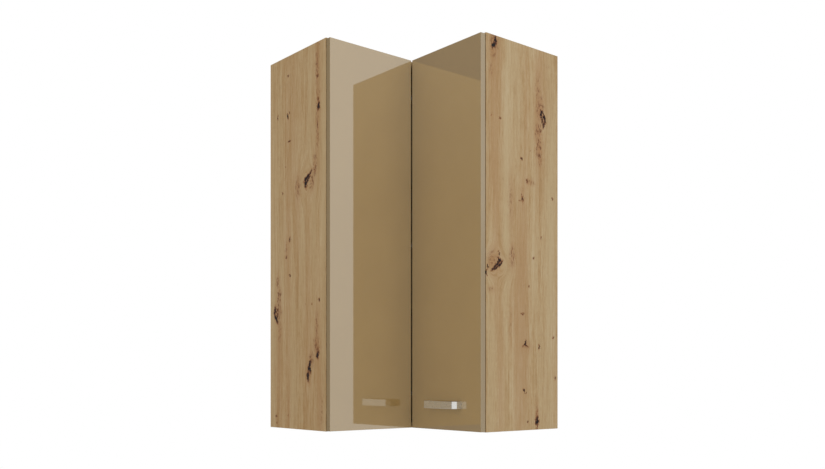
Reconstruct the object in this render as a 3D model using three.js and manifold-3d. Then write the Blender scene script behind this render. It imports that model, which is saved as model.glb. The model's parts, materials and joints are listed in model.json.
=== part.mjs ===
import * as THREE from 'three';
import Module from 'manifold-3d';
import { mergeVertices } from 'three/addons/utils/BufferGeometryUtils.js';

// Corner wall cabinet: an L-shaped carcass that hangs in the corner of a room, closed by two doors
// that are hinged to each other and to the left end of the carcass.
//
// Millimetres, +Z up. The origin is the corner of the room at the height of the cabinet's underside.
// One wall is the plane x = 0 and the other the plane y = 0. The left wing hangs on x = 0 and ends at
// y = -WING_LENGTH. The right wing hangs on y = 0 and ends at x = WING_LENGTH. A place in a wing is
// given by "along", its distance from the corner along the wall, and "out", its distance from the wall.

// Cabinet
const WING_LENGTH = 600;
const HEIGHT = 1080;
const CARCASS_DEPTH = 291;
const BOARD = 16;
const FIT = 0.3; // clearance of a piece in its groove, hole or slot

// Backs
const BACK_THICKNESS = 3;
const BACK_INSET = 10; // from the wall to the back
const GROOVE_DEPTH = 8;
const GROOVE_END_PLAY = 0.5;

// Upright in the rear corner
const POST_WIDTH = 80;

// Shelves
const SHELF_COUNT = 2;
const SHELF_SETBACK = 20; // front edge behind the carcass front
const SHELF_PLAY = 1; // to the boards around it

// Shelf supports
const SUPPORT_RADIUS = 2.5;
const SUPPORT_HOLE_DEPTH = 9;
const SUPPORT_SHANK = 8.5;
const SUPPORT_HEAD_LENGTH = 8;
const SUPPORT_HEAD_WIDTH = 8;
const SUPPORT_HEAD_HEIGHT = 6;
const SUPPORT_FRONT_OUT = 240;
const SUPPORT_REAR_OUT = 50;

// Doors
const DOOR_THICKNESS = 16;
const DOOR_GAP = 2; // between the carcass front and the back of a door
const DOOR_TOP_REVEAL = 4;
const DOOR_BOTTOM_REVEAL = 1;
const DOOR_SIDE_REVEAL = 1;
const DOOR_CORNER_GAP = 2; // from one door's front to the other door's end
const HINGES_PER_EDGE = 3;
const HINGE_END_DISTANCE = 100; // from a door's top or bottom to its outer hinges

// Hinge: a cup let into the door holds a pin, and a gooseneck arm turns on the pin.
// Its own frame has the pin at the origin, u towards the door's front and v from the pin to the cup.
const PIN_DEPTH = 9; // from the door's back
const PIN_END_DISTANCE = 5.75; // from the door's end
const PIN_RADIUS = 1;
const PIN_HALF_LENGTH = 9.8;
const PIN_FIT = 0.2;
const PIN_TO_CUP_CENTRE = 13.5;
const CUP_RADIUS = 17.5;
const CUP_WALL = 1;
const CUP_DEPTH = 13;
const FLANGE_THICKNESS = 1;
const FLANGE_START = -3.5;
const FLANGE_WIDTH = 26;
const FLANGE_HEIGHT = 62;
const FLANGE_CORNER = 6;
const ARM_THICKNESS = 1.8;
const NECK_HEIGHT = 8;
const ARM_HEIGHT = 14;
const EYE_RADIUS = 2.2;
const PLATE_THICKNESS = 3;
const PLATE_BAR_LENGTH = 50;
const PLATE_BAR_HEIGHT = 16;
const PLATE_WING_WIDTH = 12;
const PLATE_WING_HEIGHT = 48;
const PLATE_SCREW_SPACING = 32;
const PLATE_SCREW_SETBACK = 37; // from the edge of the board that carries the plate
const ARM_TO_PLATE = 0.4;
const SCREW_HEAD_RADIUS = 4.5;
const SCREW_HEAD_HEIGHT = 1.2;
const ARM_PAD_LENGTH = 20;

// Neck of the arm that joins the carcass to the left door
const SWING_NECK_LEAN = 1.8; // how far the neck stands off the pin towards the door's front
const SWING_NECK_RISE = 5.5;
const SWING_BEND = 4.15;
const SWING_PLATE_SETBACK = 6; // from the carcass front to the plate

// Neck of the arm that joins the two doors
const FOLD_NECK_ANGLE = THREE.MathUtils.degToRad(36);
const FOLD_NECK_LENGTH = 12;
const FOLD_RUN_DEPTH = 13.5; // the run behind the doors' backs, from the pin
const FOLD_NECK_REACH = 11.5;
const FOLD_OUTER_BEND = 2.5;
const FOLD_INNER_BEND = 4;
const FOLD_PLATE_SETBACK = 4; // from the left door's inner end to the plate

// Handle
const HANDLE_LENGTH = 136;
const HANDLE_HEIGHT = 20;
const HANDLE_PROJECTION = 28;
const HANDLE_STRAP = 4;
const HANDLE_CORNER = 10; // how much of the bar and of the end the slanting corner takes
const HANDLE_Z = 72;
const HANDLE_SCREW_INSET = 20; // from the end of the handle to the axis of its screw
const HANDLE_POST_RADIUS = 4.5;
const HANDLE_SCREW_RADIUS = 2;
const HANDLE_SCREW_BITE = 10;
const HANDLE_SCREW_HEAD_RADIUS = 4.5;
const HANDLE_SCREW_HEAD_HEIGHT = 2.5;
const SCREW_HEAD_OVERLAP = 1; // how far a screw's head and its shank or plate run into each other

// Door bumpers on the front edge of the right side panel
const BUMPER_RADIUS = 4;
const BUMPER_END_DISTANCE = 40;

// Wall hangers in the top of each wing
const HANGER_TOP_GAP = 14; // below the top board
const HANGER_HEIGHT = 60;
const HANGER_DEPTH = 40;
const HANGER_WIDTH = 18;
const HOOK_WIDTH = 14;
const HOOK_THICKNESS = 2;
const HOOK_BELOW_TOP = 12; // from the hanger's top to the hook's top
const HOOK_DROP = 22;
const HOOK_WALL_GAP = 1;
const HOOK_SLOT_PLAY = 1.5;
const RAIL_LENGTH = 50;
const RAIL_THICKNESS = 2;
const RAIL_LIP = 28;
const RAIL_PLATE = 38;

// Facets
const ROUND_SIDES = 28;
const SMALL_ROUND_SIDES = 12;
const ARC_STEPS = 5;

// Worked out from the sizes above
const PANEL_INSIDE = WING_LENGTH - BOARD;
const TOP_UNDERSIDE = HEIGHT - BOARD;
const BACK_FRONT = BACK_INSET + BACK_THICKNESS;
const DOOR_BACK = CARCASS_DEPTH + DOOR_GAP;
const DOOR_FRONT = DOOR_BACK + DOOR_THICKNESS;
const DOOR_INNER_END = DOOR_FRONT + DOOR_CORNER_GAP;
const DOOR_OUTER_END = WING_LENGTH - DOOR_SIDE_REVEAL;
const DOOR_BOTTOM = DOOR_BOTTOM_REVEAL;
const DOOR_TOP = HEIGHT - DOOR_TOP_REVEAL;
const DOOR_MIDDLE = (DOOR_INNER_END + DOOR_OUTER_END) / 2;
const POST_END = BACK_FRONT + POST_WIDTH;
const POST_FRONT = BACK_FRONT + BOARD;
const PIN_OUT = DOOR_BACK + PIN_DEPTH;
const HANGER_TOP = TOP_UNDERSIDE - HANGER_TOP_GAP;
const HOOK_TOP = HANGER_TOP - HOOK_BELOW_TOP;

const COLOURS = {
  oak: { color: 0xb2946b, roughness: 0.6, metalness: 0 },
  gloss: { color: 0x94795a, roughness: 0.08, metalness: 0 },
  back: { color: 0xb49a76, roughness: 0.7, metalness: 0 },
  steel: { color: 0xb8bbc0, roughness: 0.35, metalness: 0.9 },
  handle: { color: 0xc8c4b8, roughness: 0.25, metalness: 0.95 },
  plastic: { color: 0xe4e2dc, roughness: 0.5, metalness: 0 },
  rubber: { color: 0xd8d8d4, roughness: 0.7, metalness: 0 },
};

// ---- Solids ----

const wasm = await Module();
wasm.setup();

function toManifold(geometry) {
  const plain = geometry.clone();
  plain.deleteAttribute('normal');
  plain.deleteAttribute('uv');
  const merged = mergeVertices(plain);
  const triangles = [];
  for (let i = 0; i < merged.index.count; i += 3) {
    const [a, b, c] = [0, 1, 2].map((corner) => merged.index.getX(i + corner));
    if (a !== b && b !== c && c !== a) triangles.push(a, b, c);
  }
  return new wasm.Manifold(new wasm.Mesh({
    numProp: 3,
    vertProperties: merged.attributes.position.array,
    triVerts: Uint32Array.from(triangles),
  }));
}

function toGeometry(manifold) {
  const mesh = manifold.getMesh();
  const geometry = new THREE.BufferGeometry();
  geometry.setAttribute('position', new THREE.BufferAttribute(mesh.vertProperties, 3));
  geometry.setIndex(new THREE.BufferAttribute(mesh.triVerts, 1));
  geometry.computeVertexNormals();
  return geometry;
}

function cut(body, tools) {
  return toGeometry(tools.reduce((left, tool) => left.subtract(toManifold(tool)), toManifold(body)));
}

function join(pieces) {
  return toGeometry(pieces.map(toManifold).reduce((whole, piece) => whole.add(piece)));
}

function box([x0, x1], [y0, y1], [z0, z1]) {
  const geometry = new THREE.BoxGeometry(x1 - x0, y1 - y0, z1 - z0);
  return geometry.translate((x0 + x1) / 2, (y0 + y1) / 2, (z0 + z1) / 2);
}

function rod(radius, from, to, sides) {
  const axis = new THREE.Vector3().subVectors(to, from);
  const geometry = new THREE.CylinderGeometry(radius, radius, axis.length(), sides);
  const turn = new THREE.Quaternion().setFromUnitVectors(new THREE.Vector3(0, 1, 0), axis.normalize());
  const middle = new THREE.Vector3().addVectors(from, to).multiplyScalar(0.5);
  return geometry.applyQuaternion(turn).translate(middle.x, middle.y, middle.z);
}

function uprightRod(radius, x, y, [z0, z1], sides) {
  return rod(radius, new THREE.Vector3(x, y, z0), new THREE.Vector3(x, y, z1), sides);
}

function prism(points, [z0, z1]) {
  const shape = new THREE.Shape(points.map(([x, y]) => new THREE.Vector2(x, y)));
  return new THREE.ExtrudeGeometry(shape, { depth: z1 - z0, bevelEnabled: false }).translate(0, 0, z0);
}

function centred(size) {
  return [-size / 2, size / 2];
}

// The outline of a strip of even thickness along a line of points.
function stripOutline(line, thickness) {
  const sides = [[], []];
  line.forEach((point, i) => {
    const before = line[Math.max(i - 1, 0)];
    const after = line[Math.min(i + 1, line.length - 1)];
    const into = (i === 0 ? after.clone().sub(point) : point.clone().sub(before)).normalize();
    const outOf = (i === line.length - 1 ? into.clone() : after.clone().sub(point).normalize());
    const mitre = into.clone().add(outOf).normalize();
    const reach = thickness / 2 / mitre.dot(into);
    sides[0].push([point.x - mitre.y * reach, point.y + mitre.x * reach]);
    sides[1].push([point.x + mitre.y * reach, point.y - mitre.x * reach]);
  });
  return [...sides[0], ...sides[1].reverse()];
}

function arc(centreX, centreY, radius, startAngle, endAngle) {
  const angles = Array.from({ length: ARC_STEPS + 1 }, (_, i) =>
    THREE.MathUtils.lerp(startAngle, endAngle, i / ARC_STEPS));
  return angles.map((angle) =>
    new THREE.Vector2(centreX + radius * Math.cos(angle), centreY + radius * Math.sin(angle)));
}

// ---- Places in a wing ----

function negated([low, high]) {
  return [-high, -low];
}

function wingPoint(wing, along, out, z) {
  return wing === 'right' ? new THREE.Vector3(along, -out, z) : new THREE.Vector3(out, -along, z);
}

function wingBox(wing, along, out, z) {
  return wing === 'right' ? box(along, negated(out), z) : box(out, negated(along), z);
}

function wingRod(wing, radius, [along0, along1], [out0, out1], z, sides) {
  return rod(radius, wingPoint(wing, along0, out0, z), wingPoint(wing, along1, out1, z), sides);
}

function shelfUnderside(index) {
  const gapCount = SHELF_COUNT + 1;
  const clear = Math.round((TOP_UNDERSIDE - BOARD - SHELF_COUNT * BOARD) / gapCount);
  return BOARD + clear + index * (clear + BOARD);
}

const SHELF_INDEXES = Array.from({ length: SHELF_COUNT }, (_, i) => i);

const HINGE_HEIGHTS = Array.from({ length: HINGES_PER_EDGE }, (_, i) => THREE.MathUtils.lerp(
  DOOR_BOTTOM + HINGE_END_DISTANCE, DOOR_TOP - HINGE_END_DISTANCE, i / (HINGES_PER_EDGE - 1)));

// ---- Scene graph ----

const cabinet = new THREE.Group();

function addMesh(name, geometry, finish, parent = cabinet) {
  const mesh = new THREE.Mesh(geometry, new THREE.MeshStandardMaterial(COLOURS[finish]));
  mesh.name = name;
  parent.add(mesh);
  return mesh;
}

// ---- Carcass ----

function backGroove(wing, along, z) {
  return wingBox(wing, along, [BACK_INSET - FIT, BACK_FRONT + FIT], z);
}

// Each support of a shelf: where it enters its board, and the way its head points.
function shelfSupportPlaces() {
  const onPanel = (wing, out, turn) => ({
    point: wingPoint(wing, PANEL_INSIDE, out, 0), turn, board: `${wing}_side_panel`,
  });
  return [
    onPanel('left', SUPPORT_FRONT_OUT, Math.PI / 2),
    onPanel('left', SUPPORT_REAR_OUT, Math.PI / 2),
    onPanel('right', SUPPORT_FRONT_OUT, Math.PI),
    onPanel('right', SUPPORT_REAR_OUT, Math.PI),
    {
      point: new THREE.Vector3((BACK_FRONT + POST_END) / 2, -POST_FRONT, 0),
      turn: -Math.PI / 2, board: 'corner_post',
    },
    {
      point: new THREE.Vector3(POST_END, -(BACK_FRONT + POST_FRONT) / 2, 0),
      turn: 0, board: 'corner_post',
    },
  ];
}

function supportZ(shelf) {
  return shelfUnderside(shelf) - SUPPORT_HEAD_HEIGHT / 2;
}

// The holes that the shelf supports of one board sit in.
function supportHoles(board) {
  const places = shelfSupportPlaces().filter((place) => place.board === board);
  return SHELF_INDEXES.flatMap((shelf) => places.map(({ point, turn }) => {
    const hole = rod(SUPPORT_RADIUS + FIT, new THREE.Vector3(-SUPPORT_HOLE_DEPTH, 0, 0),
      new THREE.Vector3(SUPPORT_HEAD_LENGTH, 0, 0), SMALL_ROUND_SIDES);
    return hole.rotateZ(turn).translate(point.x, point.y, supportZ(shelf));
  }));
}

function addSidePanel(wing) {
  const name = `${wing}_side_panel`;
  const board = wingBox(wing, [PANEL_INSIDE, WING_LENGTH], [0, CARCASS_DEPTH], [0, HEIGHT]);
  const groove = backGroove(wing, [PANEL_INSIDE - BOARD, PANEL_INSIDE + GROOVE_DEPTH],
    [-BOARD, HEIGHT + BOARD]);
  addMesh(name, cut(board, [groove, ...supportHoles(name)]), 'oak');
}

function cornerOutline(rear, depth, reach) {
  return [[rear, -rear], [reach, -rear], [reach, -depth], [depth, -depth], [depth, -reach], [rear, -reach]];
}

function addCornerBoard(name, bottom, grooveZ) {
  const board = prism(cornerOutline(0, CARCASS_DEPTH, PANEL_INSIDE), [bottom, bottom + BOARD]);
  const grooves = ['left', 'right'].map((wing) =>
    backGroove(wing, [BACK_INSET - FIT, PANEL_INSIDE + BOARD], grooveZ));
  addMesh(name, cut(board, grooves), 'oak');
}

function addBack(wing, start) {
  const low = BOARD - GROOVE_DEPTH + GROOVE_END_PLAY;
  const high = TOP_UNDERSIDE + GROOVE_DEPTH - GROOVE_END_PLAY;
  const end = PANEL_INSIDE + GROOVE_DEPTH - GROOVE_END_PLAY;
  const sheet = wingBox(wing, [start, end], [BACK_INSET, BACK_FRONT], [low, high]);
  const middle = PANEL_INSIDE - HANGER_WIDTH / 2;
  const half = HOOK_WIDTH / 2 + HOOK_SLOT_PLAY;
  const slot = wingBox(wing, [middle - half, middle + half], [0, BACK_FRONT + BOARD],
    [HOOK_TOP - HOOK_DROP - HOOK_SLOT_PLAY, HOOK_TOP + HOOK_SLOT_PLAY]);
  addMesh(`${wing}_back_panel`, cut(sheet, [slot]), 'back');
}

function addCornerPost() {
  const board = box([BACK_FRONT, POST_END], [-POST_FRONT, -BACK_FRONT], [BOARD, TOP_UNDERSIDE]);
  addMesh('corner_post', cut(board, supportHoles('corner_post')), 'oak');
}

function addShelf(index) {
  const low = shelfUnderside(index);
  const outline = cornerOutline(BACK_FRONT + SHELF_PLAY, CARCASS_DEPTH - SHELF_SETBACK,
    PANEL_INSIDE - SHELF_PLAY);
  const notch = box([0, POST_END + SHELF_PLAY], [-(POST_FRONT + SHELF_PLAY), 0], [low - BOARD, low + 2 * BOARD]);
  addMesh(`shelf_${index + 1}`, cut(prism(outline, [low, low + BOARD]), [notch]), 'oak');
}

function supportGeometry() {
  const shank = rod(SUPPORT_RADIUS, new THREE.Vector3(-SUPPORT_SHANK, 0, 0),
    new THREE.Vector3(SUPPORT_HEAD_LENGTH / 2, 0, 0), SMALL_ROUND_SIDES);
  const head = box([0, SUPPORT_HEAD_LENGTH], centred(SUPPORT_HEAD_WIDTH), centred(SUPPORT_HEAD_HEIGHT));
  return join([shank, head]);
}

function addShelfSupports(index) {
  shelfSupportPlaces().forEach(({ point, turn }, i) => {
    const mesh = addMesh(`shelf_${index + 1}_support_${i + 1}`, supportGeometry(), 'steel');
    mesh.position.set(point.x, point.y, supportZ(index));
    mesh.rotation.z = turn;
  });
}

function addBumpers() {
  const middle = WING_LENGTH - BOARD / 2;
  const ends = [DOOR_BOTTOM + BUMPER_END_DISTANCE, DOOR_TOP - BUMPER_END_DISTANCE];
  ends.forEach((z, i) => addMesh(`door_bumper_${i + 1}`, wingRod('right', BUMPER_RADIUS,
    [middle, middle], [CARCASS_DEPTH, DOOR_BACK - FIT], z, SMALL_ROUND_SIDES), 'rubber'));
}

// ---- Wall hangers ----

// A profile in the plane of "out" and z, drawn out along the wall.
function wingProfile(wing, profile, [along0, along1]) {
  const geometry = prism(profile, [0, along1 - along0]);
  const out = wingPoint(wing, 0, 1, 0);
  const up = new THREE.Vector3(0, 0, 1);
  const along = new THREE.Vector3().crossVectors(out, up);
  const start = along.dot(wingPoint(wing, 1, 0, 0)) > 0 ? along0 : along1;
  const base = wingPoint(wing, start, 0, 0);
  return geometry.applyMatrix4(new THREE.Matrix4().makeBasis(out, up, along)).translate(base.x, base.y, 0);
}

function addHanger(wing) {
  const middle = PANEL_INSIDE - HANGER_WIDTH / 2;
  const body = wingBox(wing, [PANEL_INSIDE - HANGER_WIDTH, PANEL_INSIDE],
    [BACK_FRONT, BACK_FRONT + HANGER_DEPTH], [HANGER_TOP - HANGER_HEIGHT, HANGER_TOP]);
  addMesh(`${wing}_hanger`, body, 'plastic');

  const tongueFront = HOOK_WALL_GAP + HOOK_THICKNESS;
  const hook = [
    [HOOK_WALL_GAP, HOOK_TOP], [HOOK_WALL_GAP, HOOK_TOP - HOOK_DROP], [tongueFront, HOOK_TOP - HOOK_DROP],
    [tongueFront, HOOK_TOP - HOOK_THICKNESS], [BACK_FRONT, HOOK_TOP - HOOK_THICKNESS], [BACK_FRONT, HOOK_TOP],
  ];
  const hookSpan = centred(HOOK_WIDTH).map((side) => middle + side);
  addMesh(`${wing}_hanger_hook`, wingProfile(wing, hook, hookSpan), 'steel');

  const lipTop = HOOK_TOP - HOOK_THICKNESS - FIT;
  const lipBottom = lipTop - RAIL_LIP;
  const lipBack = tongueFront + FIT;
  const rail = [
    [0, lipBottom + RAIL_THICKNESS], [0, lipBottom - RAIL_PLATE], [RAIL_THICKNESS, lipBottom - RAIL_PLATE],
    [RAIL_THICKNESS, lipBottom], [lipBack + RAIL_THICKNESS, lipBottom],
    [lipBack + RAIL_THICKNESS, lipTop], [lipBack, lipTop], [lipBack, lipBottom + RAIL_THICKNESS],
  ];
  const railSpan = centred(RAIL_LENGTH).map((side) => PANEL_INSIDE - RAIL_LENGTH / 2 + side);
  addMesh(`${wing}_wall_rail`, wingProfile(wing, rail, railSpan), 'steel');
}

// ---- Hinges, each in its own frame ----

function cupGeometry() {
  const inner = CUP_RADIUS - CUP_WALL;
  const floor = CUP_DEPTH - CUP_WALL;
  const profile = [[0, floor], [inner, floor], [inner, 0], [CUP_RADIUS, 0], [CUP_RADIUS, CUP_DEPTH], [0, CUP_DEPTH]];
  const bowl = new THREE.LatheGeometry(profile.map(([r, depth]) => new THREE.Vector2(r, depth)), ROUND_SIDES);
  bowl.rotateZ(-Math.PI / 2).translate(-PIN_DEPTH, PIN_TO_CUP_CENTRE, 0);

  const shape = new THREE.Shape();
  const [low, high] = centred(FLANGE_HEIGHT);
  const end = FLANGE_START + FLANGE_WIDTH;
  shape.moveTo(FLANGE_START, low);
  shape.lineTo(end - FLANGE_CORNER, low);
  shape.absarc(end - FLANGE_CORNER, low + FLANGE_CORNER, FLANGE_CORNER, -Math.PI / 2, 0, false);
  shape.absarc(end - FLANGE_CORNER, high - FLANGE_CORNER, FLANGE_CORNER, 0, Math.PI / 2, false);
  shape.lineTo(FLANGE_START, high);
  const flange = new THREE.ExtrudeGeometry(shape, {
    depth: FLANGE_THICKNESS, bevelEnabled: false, curveSegments: ARC_STEPS,
  });
  const turned = new THREE.Matrix4().makeBasis(new THREE.Vector3(0, 1, 0), new THREE.Vector3(0, 0, 1),
    new THREE.Vector3(1, 0, 0));
  flange.applyMatrix4(turned).translate(-PIN_DEPTH - FLANGE_THICKNESS, 0, 0);
  const mouth = rod(inner, new THREE.Vector3(-PIN_DEPTH - 2 * FLANGE_THICKNESS, PIN_TO_CUP_CENTRE, 0),
    new THREE.Vector3(-PIN_DEPTH + FLANGE_THICKNESS, PIN_TO_CUP_CENTRE, 0), ROUND_SIDES);
  const pinHole = uprightRod(PIN_RADIUS + PIN_FIT, 0, 0, centred(FLANGE_HEIGHT), SMALL_ROUND_SIDES);
  return cut(join([bowl, cut(flange, [mouth])]), [pinHole]);
}

function armGeometry(neck, run, padStart, padV) {
  const runV = run[run.length - 1].y;
  const side = Math.sign(runV - padV);
  const head = [runV, runV + side * (ARM_THICKNESS / 2 + SCREW_HEAD_HEIGHT)];
  const screwU = padStart + ARM_PAD_LENGTH / 2;
  const body = join([
    prism(stripOutline(neck, ARM_THICKNESS), centred(NECK_HEIGHT)),
    prism(stripOutline(run, ARM_THICKNESS), centred(ARM_HEIGHT)),
    box([padStart, padStart + ARM_PAD_LENGTH], [padV, runV].sort((a, b) => a - b), centred(ARM_HEIGHT)),
    rod(SCREW_HEAD_RADIUS, new THREE.Vector3(screwU, head[0], 0), new THREE.Vector3(screwU, head[1], 0),
      SMALL_ROUND_SIDES),
    uprightRod(EYE_RADIUS, 0, 0, centred(NECK_HEIGHT), SMALL_ROUND_SIDES),
  ]);
  const hole = uprightRod(PIN_RADIUS + PIN_FIT, 0, 0, centred(ARM_HEIGHT), SMALL_ROUND_SIDES);
  return cut(body, [hole]);
}

// A cross-shaped plate on a board whose face is at v = face; side is the way off the board.
function plateGeometry(start, screwU, face, side) {
  const top = face + side * PLATE_THICKNESS;
  const span = [face, top].sort((a, b) => a - b);
  const heads = centred(PLATE_SCREW_SPACING).map((z) => rod(SCREW_HEAD_RADIUS,
    new THREE.Vector3(screwU, top - side * SCREW_HEAD_OVERLAP, z),
    new THREE.Vector3(screwU, top + side * SCREW_HEAD_HEIGHT, z), SMALL_ROUND_SIDES));
  const wing = centred(PLATE_WING_WIDTH).map((edge) => screwU + edge);
  return join([
    box([start, start + PLATE_BAR_LENGTH], span, centred(PLATE_BAR_HEIGHT)),
    box(wing, span, centred(PLATE_WING_HEIGHT)),
    ...heads,
  ]);
}

function pinGeometry() {
  return uprightRod(PIN_RADIUS, 0, 0, centred(2 * PIN_HALF_LENGTH), SMALL_ROUND_SIDES);
}

// The arm's line from the pin to the plate on the left side panel.
function swingHinge() {
  const pinAlong = DOOR_OUTER_END - PIN_END_DISTANCE;
  const face = pinAlong - PANEL_INSIDE;
  const plateEnd = CARCASS_DEPTH - SWING_PLATE_SETBACK - PIN_OUT;
  const plateStart = plateEnd - PLATE_BAR_LENGTH;
  const runV = face + PLATE_THICKNESS + ARM_TO_PLATE + ARM_THICKNESS / 2;
  const bend = arc(SWING_NECK_LEAN - SWING_BEND, runV - SWING_BEND, SWING_BEND, 0, Math.PI / 2);
  const runEnd = new THREE.Vector2(plateStart, runV);
  const neck = [
    new THREE.Vector2(0, 0), new THREE.Vector2(SWING_NECK_LEAN, SWING_NECK_RISE), ...bend, runEnd,
  ];
  const run = [new THREE.Vector2(plateEnd, runV), runEnd];
  return {
    name: 'swing', place: wingPoint('left', pinAlong, PIN_OUT, 0), turn: 0,
    arm: () => armGeometry(neck, run, plateStart, face + PLATE_THICKNESS),
    plate: () => plateGeometry(plateStart, CARCASS_DEPTH - PLATE_SCREW_SETBACK - PIN_OUT, face, 1),
  };
}

// The arm's line from the pin to the plate on the back of the left door.
function foldHinge() {
  const pinAlong = DOOR_INNER_END + PIN_END_DISTANCE;
  const face = DOOR_BACK - pinAlong;
  const plateStart = DOOR_INNER_END + FOLD_PLATE_SETBACK - PIN_OUT;
  const plateEnd = plateStart + PLATE_BAR_LENGTH;
  const runU = -FOLD_RUN_DEPTH;
  const runV = face - PLATE_THICKNESS - ARM_TO_PLATE - ARM_THICKNESS / 2;
  const outer = arc(runU + FOLD_OUTER_BEND, FOLD_NECK_REACH - FOLD_OUTER_BEND, FOLD_OUTER_BEND,
    Math.PI / 2, Math.PI);
  const inner = arc(runU + FOLD_INNER_BEND, runV + FOLD_INNER_BEND, FOLD_INNER_BEND, Math.PI, 1.5 * Math.PI);
  const neckTop = new THREE.Vector2(-Math.sin(FOLD_NECK_ANGLE), Math.cos(FOLD_NECK_ANGLE))
    .multiplyScalar(FOLD_NECK_LENGTH);
  const runStart = new THREE.Vector2(runU, 0);
  const runEnd = new THREE.Vector2(plateEnd, runV);
  return {
    name: 'fold', place: wingPoint('right', pinAlong, PIN_OUT, 0), turn: -Math.PI / 2,
    arm: () => armGeometry([new THREE.Vector2(0, 0), neckTop, ...outer, ...inner, runEnd],
      [runStart, ...inner, runEnd], plateEnd - ARM_PAD_LENGTH, face - PLATE_THICKNESS),
    plate: () => plateGeometry(plateStart, DOOR_INNER_END + PLATE_SCREW_SETBACK - PIN_OUT, face, -1),
  };
}

function addHinges({ name, place, turn, arm, plate }) {
  HINGE_HEIGHTS.forEach((z, i) => {
    const hinge = new THREE.Group();
    hinge.position.set(place.x, place.y, z);
    hinge.rotation.z = turn;
    cabinet.add(hinge);
    addMesh(`${name}_hinge_${i + 1}_plate`, plate(), 'steel', hinge);
    addMesh(`${name}_hinge_${i + 1}_arm`, arm(), 'steel', hinge);
    addMesh(`${name}_hinge_${i + 1}_cup`, cupGeometry(), 'steel', hinge);
    addMesh(`${name}_hinge_${i + 1}_pin`, pinGeometry(), 'steel', hinge);
  });
}

// ---- Doors ----

function cupBores(wing, centreAlong) {
  return HINGE_HEIGHTS.map((z) => wingRod(wing, CUP_RADIUS + FIT, [centreAlong, centreAlong],
    [DOOR_BACK - BOARD, DOOR_BACK + CUP_DEPTH + FIT], z, ROUND_SIDES));
}

function handleScrewAlongs() {
  return centred(HANDLE_LENGTH - 2 * HANDLE_SCREW_INSET).map((side) => DOOR_MIDDLE + side);
}

function doorBoard(wing) {
  return wingBox(wing, [DOOR_INNER_END, DOOR_OUTER_END], [DOOR_BACK, DOOR_FRONT], [DOOR_BOTTOM, DOOR_TOP]);
}

function addDoors() {
  const leftBores = cupBores('left', DOOR_OUTER_END - PIN_END_DISTANCE - PIN_TO_CUP_CENTRE);
  addMesh('left_door', cut(doorBoard('left'), leftBores), 'gloss');

  const rightBores = cupBores('right', DOOR_INNER_END + PIN_END_DISTANCE + PIN_TO_CUP_CENTRE);
  const screwHoles = handleScrewAlongs().map((along) => wingRod('right', HANDLE_SCREW_RADIUS + FIT,
    [along, along], [DOOR_BACK - BOARD, DOOR_FRONT + BOARD], HANDLE_Z, SMALL_ROUND_SIDES));
  addMesh('right_door', cut(doorBoard('right'), [...rightBores, ...screwHoles]), 'gloss');
}

function addHandle() {
  const [left, right] = centred(HANDLE_LENGTH - HANDLE_STRAP).map((side) => DOOR_MIDDLE + side);
  const bar = -(DOOR_FRONT + HANDLE_PROJECTION - HANDLE_STRAP / 2);
  const slant = HANDLE_CORNER - (1 - Math.tan(Math.PI / 8)) * HANDLE_STRAP / 2; // on the strap's middle line
  const line = [
    [left, -DOOR_FRONT],
    [left, bar + slant],
    [left + slant, bar],
    [right - slant, bar],
    [right, bar + slant],
    [right, -DOOR_FRONT],
  ].map(([x, y]) => new THREE.Vector2(x, y));
  const height = centred(HANDLE_HEIGHT).map((side) => HANDLE_Z + side);
  const strap = prism(stripOutline(line, HANDLE_STRAP), height);
  const barBack = DOOR_FRONT + HANDLE_PROJECTION - HANDLE_STRAP;
  const posts = handleScrewAlongs().map((along) => wingRod('right', HANDLE_POST_RADIUS,
    [along, along], [DOOR_FRONT, barBack + HANDLE_STRAP / 2], HANDLE_Z, SMALL_ROUND_SIDES));
  const threads = handleScrewAlongs().map((along) => wingRod('right', HANDLE_SCREW_RADIUS + FIT,
    [along, along], [DOOR_BACK, DOOR_FRONT + HANDLE_SCREW_BITE + FIT], HANDLE_Z, SMALL_ROUND_SIDES));
  addMesh('handle', cut(join([strap, ...posts]), threads), 'handle');

  handleScrewAlongs().forEach((along, i) => {
    const shank = wingRod('right', HANDLE_SCREW_RADIUS, [along, along],
      [DOOR_BACK - SCREW_HEAD_OVERLAP, DOOR_FRONT + HANDLE_SCREW_BITE], HANDLE_Z, SMALL_ROUND_SIDES);
    const head = wingRod('right', HANDLE_SCREW_HEAD_RADIUS, [along, along],
      [DOOR_BACK - HANDLE_SCREW_HEAD_HEIGHT, DOOR_BACK], HANDLE_Z, SMALL_ROUND_SIDES);
    addMesh(`handle_screw_${i + 1}`, join([shank, head]), 'steel');
  });
}

// ---- The whole cabinet ----

['left', 'right'].forEach(addSidePanel);
addCornerBoard('bottom_board', 0, [BOARD - GROOVE_DEPTH, 2 * BOARD]);
addCornerBoard('top_board', TOP_UNDERSIDE, [TOP_UNDERSIDE - BOARD, TOP_UNDERSIDE + GROOVE_DEPTH]);
addBack('left', BACK_INSET);
addBack('right', BACK_FRONT + FIT);
addCornerPost();
SHELF_INDEXES.forEach(addShelf);
SHELF_INDEXES.forEach(addShelfSupports);
addBumpers();
['left', 'right'].forEach(addHanger);
addDoors();
addHandle();
addHinges(swingHinge());
addHinges(foldHinge());

export default cabinet;
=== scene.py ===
import json
import math

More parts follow.
